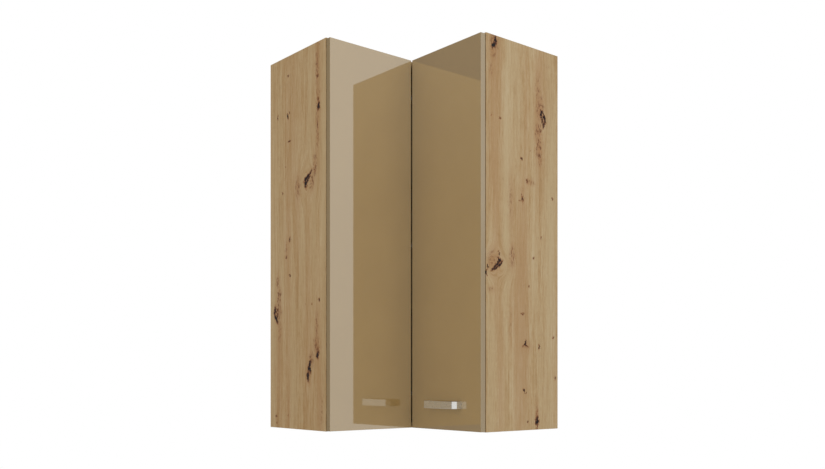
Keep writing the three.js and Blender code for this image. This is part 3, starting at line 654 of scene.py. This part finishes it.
def add_strip(mesh, outer, inner, low, high):
    """A strip between two lines of points in plan, from low to high."""
    rings = [[mesh.verts.new((x, y, z)) for x, y in line]
             for z in (low, high) for line in (outer, inner)]
    outer_low, inner_low, outer_high, inner_high = rings
    for i in range(len(outer) - 1):
        mesh.faces.new((outer_low[i], outer_low[i + 1], outer_high[i + 1], outer_high[i]))
        mesh.faces.new((inner_low[i + 1], inner_low[i], inner_high[i], inner_high[i + 1]))
        mesh.faces.new((outer_high[i], outer_high[i + 1], inner_high[i + 1], inner_high[i]))
        mesh.faces.new((outer_low[i + 1], outer_low[i], inner_low[i], inner_low[i + 1]))
    for i in (0, -1):
        mesh.faces.new((outer_low[i], outer_high[i], inner_high[i], inner_low[i]))


def add_post(mesh, x, front, back, z, radius, sides=40):
    """A round post from front to back along y."""
    turns = [2 * math.pi * i / sides for i in range(sides)]
    rings = [[mesh.verts.new((x + radius * math.cos(t), y, z + radius * math.sin(t))) for t in turns]
             for y in (front, back)]
    for i in range(sides):
        j = (i + 1) % sides
        mesh.faces.new((rings[0][i], rings[0][j], rings[1][j], rings[1][i]))
    mesh.faces.new(rings[0])
    mesh.faces.new(rings[1])


def new_piece(name, mesh, material, body, edge):
    """Makes a bmesh into a piece with rounded edges that rides on a body."""
    bmesh.ops.recalc_face_normals(mesh, faces=mesh.faces)
    data = bpy.data.meshes.new(name)
    mesh.to_mesh(data)
    mesh.free()
    data.materials.append(material)
    data.shade_smooth()
    piece = bpy.data.objects.new(name, data)
    bpy.context.scene.collection.objects.link(piece)
    add_bevel(piece, edge, segments=3, least_angle=30)
    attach(piece, body)
    return piece


def bar_line(low, high, inset):
    """The handle's line in plan, from one foot to the other, inset from its outer face."""
    left, right, front = low.x + inset, high.x - inset, low.y + inset
    slant = HANDLE_CORNER - (2 - math.sqrt(2)) * inset
    return [(left, high.y), (left, front + slant), (left + slant, front),
            (right - slant, front), (right, front + slant), (right, high.y)]


def add_handle():
    """Flat bar with slanting corners, and the two posts that its screws go into."""
    low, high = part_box("handle")
    mesh = bmesh.new()
    add_strip(mesh, bar_line(low, high, 0), bar_line(low, high, HANDLE_STRAP), low.z, high.z)
    middle = (low.z + high.z) / 2
    for x in (low.x + HANDLE_SCREW_INSET, high.x - HANDLE_SCREW_INSET):
        add_post(mesh, x, low.y + HANDLE_STRAP, high.y, middle, HANDLE_POST_RADIUS)
    piece = new_piece("handle_bar", mesh, HANDLE_METAL, "right_door", HANDLE_EDGE)
    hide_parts("handle")


# ---- Studio ----

def add_camera():
    data = bpy.data.cameras.new("camera")
    data.sensor_fit = "HORIZONTAL"
    data.sensor_width = SENSOR_WIDTH
    data.lens = FOCAL_LENGTH_PIXELS / PICTURE_WIDTH * SENSOR_WIDTH
    data.shift_y = (HORIZON_PIXELS - PICTURE_HEIGHT / 2) / PICTURE_WIDTH
    camera = bpy.data.objects.new("camera", data)
    camera.location = CAMERA_PLACE
    camera.rotation_euler = (math.radians(90), 0, CAMERA_TURN)
    bpy.context.scene.collection.objects.link(camera)
    bpy.context.scene.camera = camera


def seen_directly(graph):
    """1 for the rays of the camera, of reflections and of glass."""
    path = graph.add("ShaderNodeLightPath").outputs
    reflected = graph.math("MAXIMUM", path["Is Glossy Ray"], path["Is Transmission Ray"])
    return graph.math("MAXIMUM", path["Is Camera Ray"], reflected)


def set_world():
    """White where it is seen, and plain ambient light on the cabinet."""
    world = bpy.data.worlds.new("world")
    bpy.context.scene.world = world
    world.use_nodes = True
    graph = Graph(world.node_tree)
    ambient = graph.add("ShaderNodeBackground", {"Color": WHITE, "Strength": AMBIENT})
    white = graph.add("ShaderNodeBackground", {"Color": WHITE, "Strength": 1.0})
    shaders = {0: seen_directly(graph), 1: ambient.outputs[0], 2: white.outputs[0]}
    both = graph.add("ShaderNodeMixShader", shaders)
    graph.add("ShaderNodeOutputWorld", {"Surface": both.outputs[0]})


def add_lamps():
    """Large soft lamps aimed at the cabinet. The cards stand for them in reflections."""
    for name, place, power in LAMPS:
        data = bpy.data.lights.new(name, "AREA")
        data.shape = "SQUARE"
        data.size = LAMP_SIZE
        data.energy = power
        lamp = bpy.data.objects.new(name, data)
        lamp.location = place
        lamp.rotation_euler = (AIM - Vector(place)).to_track_quat("-Z", "Y").to_euler()
        lamp.visible_glossy = False
        bpy.context.scene.collection.objects.link(lamp)


def add_sheet(name, corners, material):
    """A flat sheet of the studio, which isn't part of the object."""
    mesh = bpy.data.meshes.new(name)
    mesh.from_pydata(corners, [], [(0, 1, 2, 3)])
    mesh.materials.append(material)
    sheet = bpy.data.objects.new(name, mesh)
    bpy.context.scene.collection.objects.link(sheet)
    return sheet


def add_floor():
    """Pale floor below the hanging cabinet. It looks white where no shadow lies on it."""
    material, graph = empty_material("floor")
    seen = seen_directly(graph)
    matt = graph.add("ShaderNodeBsdfDiffuse", {"Color": FLOOR_COLOUR})
    glow_strength = graph.math("MULTIPLY", seen, FLOOR_GLOW)
    glow = graph.add("ShaderNodeEmission", {"Color": WHITE, "Strength": glow_strength})
    near = graph.add("ShaderNodeAddShader", {0: matt.outputs[0], 1: glow.outputs[0]})
    white = graph.add("ShaderNodeEmission", {"Color": WHITE, "Strength": 1.0})
    away = graph.moved(graph.place(), (-AIM.x, -AIM.y, -FLOOR_LEVEL))
    distance = graph.add("ShaderNodeVectorMath", {0: away}, operation="LENGTH").outputs["Value"]
    fade = graph.math("MULTIPLY", seen, graph.spread(distance, *FLOOR_FADE, smooth=True))
    floor = graph.add("ShaderNodeMixShader", {0: fade, 1: near.outputs[0], 2: white.outputs[0]})
    graph.add("ShaderNodeOutputMaterial", {"Surface": floor.outputs[0]})
    signs = ((-1, -1), (1, -1), (1, 1), (-1, 1))
    corners = [(x * FLOOR_HALF, y * FLOOR_HALF, FLOOR_LEVEL) for x, y in signs]
    add_sheet("floor", corners, material)


def add_card(name, start, end, levels):
    """Studio card that only reflections see: the doors and the handle mirror it."""
    material, graph = empty_material(name)
    height = graph.separate(graph.place())[Z]
    brightness = levels[0][1]
    for (low, below), (high, above) in zip(levels, levels[1:]):
        brightness = graph.math("ADD", brightness, graph.spread(height, low, high, 0, above - below))
    glow = graph.add("ShaderNodeEmission", {"Color": WHITE, "Strength": brightness})
    graph.add("ShaderNodeOutputMaterial", {"Surface": glow.outputs[0]})
    corners = [(*start, FLOOR_LEVEL), (*end, FLOOR_LEVEL), (*end, CARD_TOP), (*start, CARD_TOP)]
    card = add_sheet(name, corners, material)
    card.visible_camera = False
    card.visible_diffuse = False
    card.visible_shadow = False
    card.visible_transmission = False


def main():
    bpy.context.scene.view_settings.view_transform = "Standard"
    add_camera()
    set_world()
    add_lamps()
    add_floor()
    for card in CARDS:
        add_card(*card)
    dress_nodes()
    add_handle()
    soften_nodes()


main()
